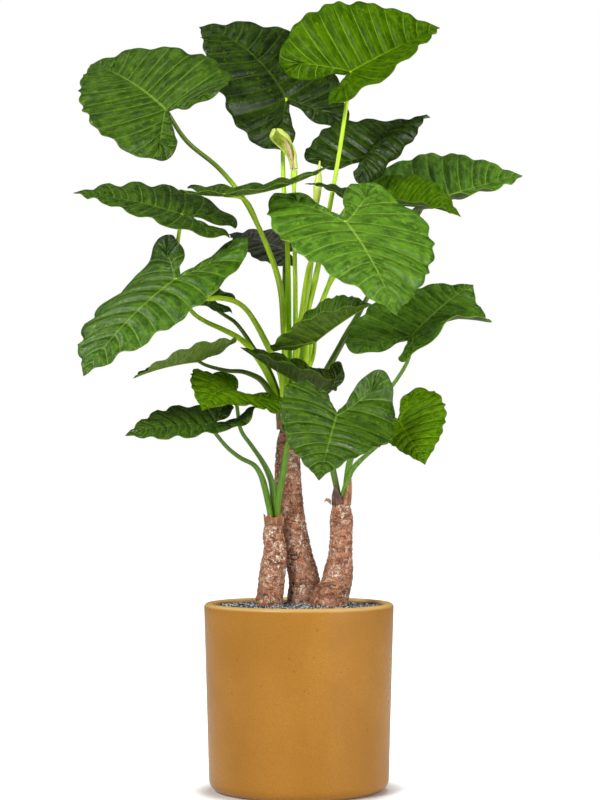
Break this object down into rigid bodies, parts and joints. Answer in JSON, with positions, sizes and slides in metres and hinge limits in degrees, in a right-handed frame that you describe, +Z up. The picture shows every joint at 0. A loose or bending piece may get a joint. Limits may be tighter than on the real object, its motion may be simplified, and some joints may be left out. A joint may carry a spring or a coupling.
{
  "type": "potted calidora alocasia",
  "caption": "Tall elephant-ear plant with heart-shaped green leaves on long stalks, woody stems and a small pale flower, in a round glazed ochre pot topped with fine grit.",
  "frame": {"origin": "centre of the pot's flat underside", "axes": "+Z up along the plant, -Y towards the front, +X to the viewer's right"},
  "size_m": [0.8502, 0.605, 1.4816],
  "materials": {
    "glazed_pot": "glossy ochre glaze with brown speckles",
    "soil": "dark potting soil",
    "grit": "loose blue-grey grit of 2 to 3 mm",
    "bark": "ringed reddish-brown woody stem with pale patches",
    "dry_sheath": "dry papery leaf sheath",
    "dark_sheath": "dry dark brown leaf sheath",
    "leaf_stalk": "smooth yellow-green leaf stalk",
    "leaf_blade": "waxy mid-green blade with paler veins",
    "flower_sheath": "soft pale yellow-green sheath",
    "spadix": "cream-pink, finely knobbed"
  },
  "bodies": {
    "root": {"pot": "glazed_pot", "soil": "soil", "grit": "grit", "stem_left": "bark", "stem_middle": "bark", "stem_right": "bark", "sheath_left": "dry_sheath", "sheath_middle": "dry_sheath", "sheath_right_dark": "dark_sheath", "sheath_right_pale": "dry_sheath", "sheath_scrap": "dry_sheath", "petiole_01": "leaf_stalk", "petiole_02": "leaf_stalk", "petiole_03": "leaf_stalk", "petiole_04": "leaf_stalk", "petiole_05": "leaf_stalk", "petiole_06": "leaf_stalk", "petiole_07": "leaf_stalk", "petiole_08": "leaf_stalk", "petiole_09": "leaf_stalk", "petiole_10": "leaf_stalk", "petiole_11": "leaf_stalk", "petiole_12": "leaf_stalk", "petiole_13": "leaf_stalk", "petiole_14": "leaf_stalk", "petiole_15": "leaf_stalk", "petiole_16": "leaf_stalk", "petiole_17": "leaf_stalk", "petiole_18": "leaf_stalk", "petiole_19": "leaf_stalk", "petiole_20": "leaf_stalk", "petiole_21": "leaf_stalk", "blade_01": "leaf_blade", "blade_02": "leaf_blade", "blade_03": "leaf_blade", "blade_04": "leaf_blade", "blade_05": "leaf_blade", "blade_06": "leaf_blade", "blade_07": "leaf_blade", "blade_08": "leaf_blade", "blade_09": "leaf_blade", "blade_10": "leaf_blade", "blade_11": "leaf_blade", "blade_12": "leaf_blade", "blade_13": "leaf_blade", "blade_14": "leaf_blade", "blade_15": "leaf_blade", "blade_16": "leaf_blade", "blade_17": "leaf_blade", "blade_18": "leaf_blade", "blade_19": "leaf_blade", "blade_20": "leaf_blade", "blade_21": "leaf_blade", "flower_stalk": "leaf_stalk", "flower_bud": "flower_sheath", "spathe": "flower_sheath", "spadix": "spadix"}
  },
  "joints": []
}
